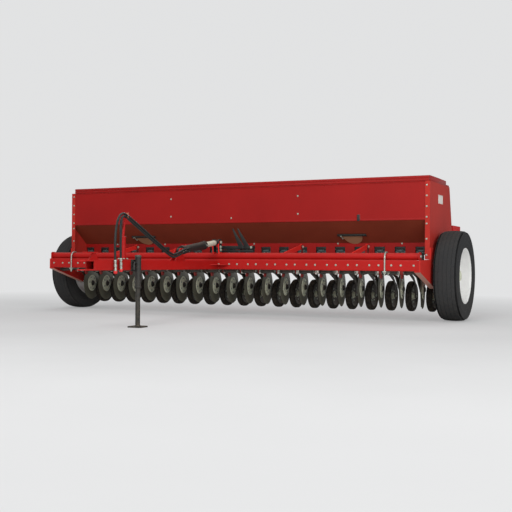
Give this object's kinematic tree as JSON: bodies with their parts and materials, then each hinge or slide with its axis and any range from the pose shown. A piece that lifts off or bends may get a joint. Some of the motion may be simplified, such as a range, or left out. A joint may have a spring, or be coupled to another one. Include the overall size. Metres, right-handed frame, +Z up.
{
  "type": "end-wheel grain seed drill",
  "caption": "Towed end-wheel grain drill with a long lidded hopper, fluted seed feeds, single-disc openers with press wheels, a hydraulic lift rockshaft and a jacked tongue.",
  "frame": {"origin": "on the ground under the middle of the machine's whole width and length", "axes": "+X along the seed rows' spacing, to the right when seen from the hitch, +Y from the hitch to the rear board, +Z up"},
  "size_m": [4.296, 3.53, 1.267],
  "materials": {
    "red_paint": "satin",
    "disc_steel": "satin",
    "zinc": "satin",
    "rod_chrome": "polished",
    "black_paint": "satin",
    "casting_paint": "satin",
    "tyre_rubber": "matte",
    "press_rubber": "matte",
    "tube_rubber": "matte",
    "hose_rubber": "satin",
    "rim_paint": "satin",
    "feed_plastic": "matte"
  },
  "bodies": {
    "frame": {"cylinder_anchor": "red_paint", "feed_cups": "feed_plastic", "feed_trough": "red_paint", "hitch_clevis": "red_paint", "hopper_ends": "red_paint", "hopper_front_panel": "red_paint", "hopper_front_slope": "red_paint", "hopper_partitions": "red_paint", "hopper_rear_panel": "red_paint", "hopper_rear_slope": "red_paint", "hose_couplers": "zinc", "hose_lower": "hose_rubber", "hose_post": "red_paint", "hose_raise": "hose_rubber", "jack_housing": "black_paint", "lid_hinges": "red_paint", "lift_stop": "black_paint", "opener_hangers": "red_paint", "rear_board": "red_paint", "rockshaft_clamps": "zinc", "seed_tubes": "tube_rubber", "tongue": "red_paint", "toolbar": "red_paint", "wheel_brackets": "red_paint"},
    "wheel_left": {"tyre_left": "tyre_rubber", "rim_left": "rim_paint"},
    "wheel_right": {"tyre_right": "tyre_rubber", "rim_right": "rim_paint"},
    "lid": {"hopper_lid": "red_paint"},
    "jack_leg": {"jack_leg": "zinc"},
    "openers": {"opener_arms": "black_paint", "opener_castings": "casting_paint", "lift_bar": "black_paint", "press_arms": "black_paint"},
    "rockshaft": {"rockshaft": "red_paint", "rockshaft_arms": "red_paint"},
    "lift_links": {"lift_links": "zinc"},
    "barrel": {"cylinder_barrel": "black_paint"},
    "rod": {"cylinder_rod": "rod_chrome"},
    "press_wheels": {"press_wheels": "press_rubber"},
    "disc_01": {"disc_01": "disc_steel"},
    "disc_02": {"disc_02": "disc_steel"},
    "disc_03": {"disc_03": "disc_steel"},
    "disc_04": {"disc_04": "disc_steel"},
    "disc_05": {"disc_05": "disc_steel"},
    "disc_06": {"disc_06": "disc_steel"},
    "disc_07": {"disc_07": "disc_steel"},
    "disc_08": {"disc_08": "disc_steel"},
    "disc_09": {"disc_09": "disc_steel"},
    "disc_10": {"disc_10": "disc_steel"},
    "disc_11": {"disc_11": "disc_steel"},
    "disc_12": {"disc_12": "disc_steel"},
    "disc_13": {"disc_13": "disc_steel"},
    "disc_14": {"disc_14": "disc_steel"},
    "disc_15": {"disc_15": "disc_steel"},
    "disc_16": {"disc_16": "disc_steel"},
    "disc_17": {"disc_17": "disc_steel"},
    "disc_18": {"disc_18": "disc_steel"},
    "disc_19": {"disc_19": "disc_steel"},
    "disc_20": {"disc_20": "disc_steel"}
  },
  "joints": [
    {"name": "wheel_left_turn", "type": "hinge", "parent": "frame", "child": "wheel_left", "pos_m": [-2.045, 0.905, 0.398], "axis": [1, 0, 0], "continuous": true},
    {"name": "wheel_right_turn", "type": "hinge", "parent": "frame", "child": "wheel_right", "pos_m": [2.045, 0.905, 0.398], "axis": [1, 0, 0], "continuous": true},
    {"name": "lid_open", "type": "hinge", "parent": "frame", "child": "lid", "pos_m": [0, 1.163, 1.239], "axis": [-1, 0, 0], "range_deg": [0, 100]},
    {"name": "jack_lift", "type": "slide", "parent": "frame", "child": "jack_leg", "axis": [0, 0, 1], "range_m": [0, 0.15]},
    {"name": "opener_lift", "type": "hinge", "parent": "frame", "child": "openers", "pos_m": [0, 0.345, 0.425], "axis": [1, 0, 0], "range_deg": [-5.5, 0], "deforming": ["seed_tubes"]},
    {"name": "rockshaft_turn", "type": "hinge", "parent": "frame", "child": "rockshaft", "pos_m": [0, 0.265, 0.56195], "axis": [1, 0, 0], "range_deg": [-4.23, 0]},
    {"name": "link_swing", "type": "hinge", "parent": "rockshaft", "child": "lift_links", "pos_m": [0, 0.665, 0.65195], "axis": [1, 0, 0], "range_deg": [0, 4.01]},
    {"name": "barrel_swing", "type": "hinge", "parent": "frame", "child": "barrel", "pos_m": [0, -0.405, 0.6], "axis": [1, 0, 0], "range_deg": [-0.039648, 0]},
    {"name": "rod_slide", "type": "slide", "parent": "barrel", "child": "rod", "axis": [0, 0.9913, 0.1316], "range_m": [0, 0.00927]},
    {"name": "disc_turn_01", "type": "hinge", "parent": "openers", "child": "disc_01", "pos_m": [-1.83375, 0.8, 0.273], "axis": [0.9914, 0.1305, 0], "continuous": true},
    {"name": "disc_turn_02", "type": "hinge", "parent": "openers", "child": "disc_02", "pos_m": [-1.64325, 0.8, 0.273], "axis": [0.9914, 0.1305, 0], "continuous": true},
    {"name": "disc_turn_03", "type": "hinge", "parent": "openers", "child": "disc_03", "pos_m": [-1.45275, 0.8, 0.273], "axis": [0.9914, 0.1305, 0], "continuous": true},
    {"name": "disc_turn_04", "type": "hinge", "parent": "openers", "child": "disc_04", "pos_m": [-1.26225, 0.8, 0.273], "axis": [0.9914, 0.1305, 0], "continuous": true},
    {"name": "disc_turn_05", "type": "hinge", "parent": "openers", "child": "disc_05", "pos_m": [-1.07175, 0.8, 0.273], "axis": [0.9914, 0.1305, 0], "continuous": true},
    {"name": "disc_turn_06", "type": "hinge", "parent": "openers", "child": "disc_06", "pos_m": [-0.88125, 0.8, 0.273], "axis": [0.9914, 0.1305, 0], "continuous": true},
    {"name": "disc_turn_07", "type": "hinge", "parent": "openers", "child": "disc_07", "pos_m": [-0.69075, 0.8, 0.273], "axis": [0.9914, 0.1305, 0], "continuous": true},
    {"name": "disc_turn_08", "type": "hinge", "parent": "openers", "child": "disc_08", "pos_m": [-0.50025, 0.8, 0.273], "axis": [0.9914, 0.1305, 0], "continuous": true},
    {"name": "disc_turn_09", "type": "hinge", "parent": "openers", "child": "disc_09", "pos_m": [-0.30975, 0.8, 0.273], "axis": [0.9914, 0.1305, 0], "continuous": true},
    {"name": "disc_turn_10", "type": "hinge", "parent": "openers", "child": "disc_10", "pos_m": [-0.11925, 0.8, 0.273], "axis": [0.9914, 0.1305, 0], "continuous": true},
    {"name": "disc_turn_11", "type": "hinge", "parent": "openers", "child": "disc_11", "pos_m": [0.07125, 0.8, 0.273], "axis": [0.9914, 0.1305, 0], "continuous": true},
    {"name": "disc_turn_12", "type": "hinge", "parent": "openers", "child": "disc_12", "pos_m": [0.26175, 0.8, 0.273], "axis": [0.9914, 0.1305, 0], "continuous": true},
    {"name": "disc_turn_13", "type": "hinge", "parent": "openers", "child": "disc_13", "pos_m": [0.45225, 0.8, 0.273], "axis": [0.9914, 0.1305, 0], "continuous": true},
    {"name": "disc_turn_14", "type": "hinge", "parent": "openers", "child": "disc_14", "pos_m": [0.64275, 0.8, 0.273], "axis": [0.9914, 0.1305, 0], "continuous": true},
    {"name": "disc_turn_15", "type": "hinge", "parent": "openers", "child": "disc_15", "pos_m": [0.83325, 0.8, 0.273], "axis": [0.9914, 0.1305, 0], "continuous": true},
    {"name": "disc_turn_16", "type": "hinge", "parent": "openers", "child": "disc_16", "pos_m": [1.02375, 0.8, 0.273], "axis": [0.9914, 0.1305, 0], "continuous": true},
    {"name": "disc_turn_17", "type": "hinge", "parent": "openers", "child": "disc_17", "pos_m": [1.21425, 0.8, 0.273], "axis": [0.9914, 0.1305, 0], "continuous": true},
    {"name": "disc_turn_18", "type": "hinge", "parent": "openers", "child": "disc_18", "pos_m": [1.40475, 0.8, 0.273], "axis": [0.9914, 0.1305, 0], "continuous": true},
    {"name": "disc_turn_19", "type": "hinge", "parent": "openers", "child": "disc_19", "pos_m": [1.59525, 0.8, 0.273], "axis": [0.9914, 0.1305, 0], "continuous": true},
    {"name": "disc_turn_20", "type": "hinge", "parent": "openers", "child": "disc_20", "pos_m": [1.78575, 0.8, 0.273], "axis": [0.9914, 0.1305, 0], "continuous": true},
    {"name": "press_wheel_turn", "type": "hinge", "parent": "openers", "child": "press_wheels", "pos_m": [0, 0.976, 0.206], "axis": [1, 0, 0], "continuous": true}
  ],
  "couplings": [
    {"joint": "rockshaft_turn", "follows": "opener_lift", "ratio": 0.75316},
    {"joint": "link_swing", "follows": "opener_lift", "ratio": -0.71408},
    {"joint": "barrel_swing", "follows": "opener_lift", "ratio": 0.006889},
    {"joint": "rod_slide", "follows": "opener_lift", "m_per_rad": -0.094689}
  ]
}
